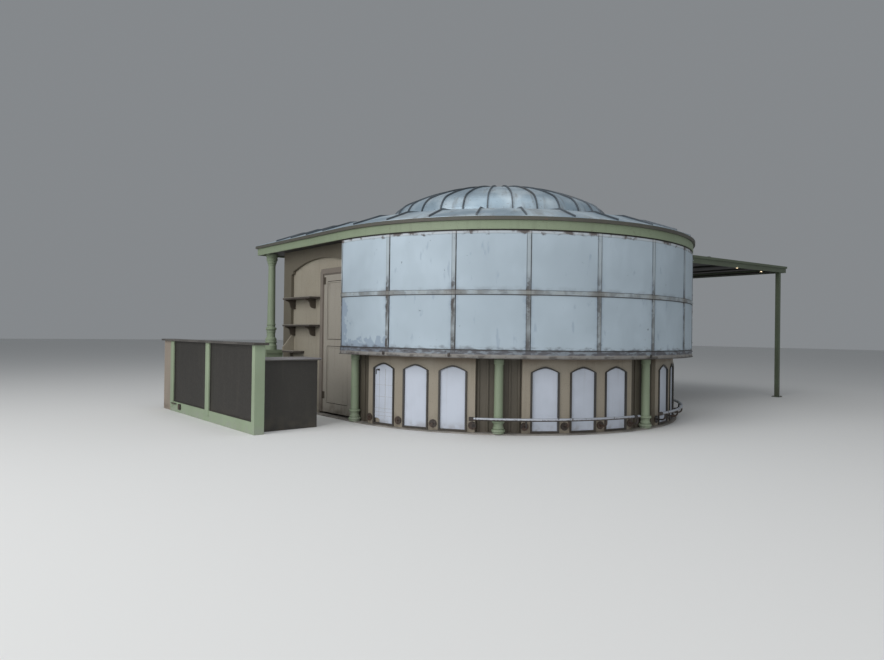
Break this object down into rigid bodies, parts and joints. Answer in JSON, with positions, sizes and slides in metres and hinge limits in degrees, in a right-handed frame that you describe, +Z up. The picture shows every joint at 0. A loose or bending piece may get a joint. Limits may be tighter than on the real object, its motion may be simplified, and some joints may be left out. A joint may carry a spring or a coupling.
{
  "type": "street kiosk",
  "caption": "Round-fronted park kiosk: domed seamed roof, green columns, sheet-metal drum over an arcaded wall, side door with shelves, canopy and outdoor bar.",
  "frame": {"origin": "centre of the round front on the ground, under the floor slab", "axes": "+X to the right along the canopy, -Y to the round front, +Z up"},
  "size_m": [11.4575, 6.3078, 3.738],
  "materials": {
    "concrete": "rough cast concrete",
    "wall_beige": "matt paint, dirty near the ground",
    "dark_frame": "satin paint",
    "white_panel": "flat white board",
    "dark_brown": "matt dark-brown paint",
    "sage_green": "satin green paint, dusty",
    "zinc": "dull weathered sheet",
    "sheet_steel": "dull sheet with rust along the seams",
    "door_beige": "matt paint",
    "rail_metal": "dull tube",
    "bar_top": "dark worn paint"
  },
  "bodies": {
    "kiosk": {"floor_slab": "concrete", "plinth": "concrete", "bay_wall_1": "wall_beige", "bay_wall_2": "wall_beige", "bay_wall_3": "wall_beige", "bay_wall_4": "wall_beige", "arch_frames": "dark_frame", "arch_panels": "white_panel", "pier_backs": "dark_brown", "sill": "dark_brown", "columns": "sage_green", "pedestals": "sage_green", "rear_columns": "sage_green", "wall_surrounds": "wall_beige", "left_wall": "wall_beige", "left_door_head": "wall_beige", "right_wall": "wall_beige", "rear_wall": "wall_beige", "soffit": "dark_brown", "fascia_front": "sage_green", "fascia_rear": "sage_green", "roof_edge": "zinc", "skirt_front": "zinc", "skirt_rear": "zinc", "roof_deck": "zinc", "roof_dome": "zinc", "roof_seams": "zinc", "drum_sheets": "sheet_steel", "cover_strips": "sheet_steel", "drum_rails": "sheet_steel", "door_frame": "door_beige", "shelves": "dark_brown", "shelf_brackets": "dark_brown", "canopy_roof": "dark_brown", "canopy_fascia": "sage_green", "canopy_posts": "sage_green", "foot_rail": "rail_metal", "rail_brackets": "dark_frame", "bar_frame": "sage_green", "bar_panels": "dark_brown", "bar_pier": "wall_beige", "low_bar": "dark_brown", "bar_tops": "bar_top"},
    "door": {"door_leaf": "door_beige", "door_hinges": "dark_brown"}
  },
  "joints": [
    {"name": "door_hinge", "type": "hinge", "parent": "kiosk", "child": "door", "pos_m": [-2.8035, 1.0025, 0.05], "axis": [0, 0, -1], "range_deg": [0, 95]}
  ]
}
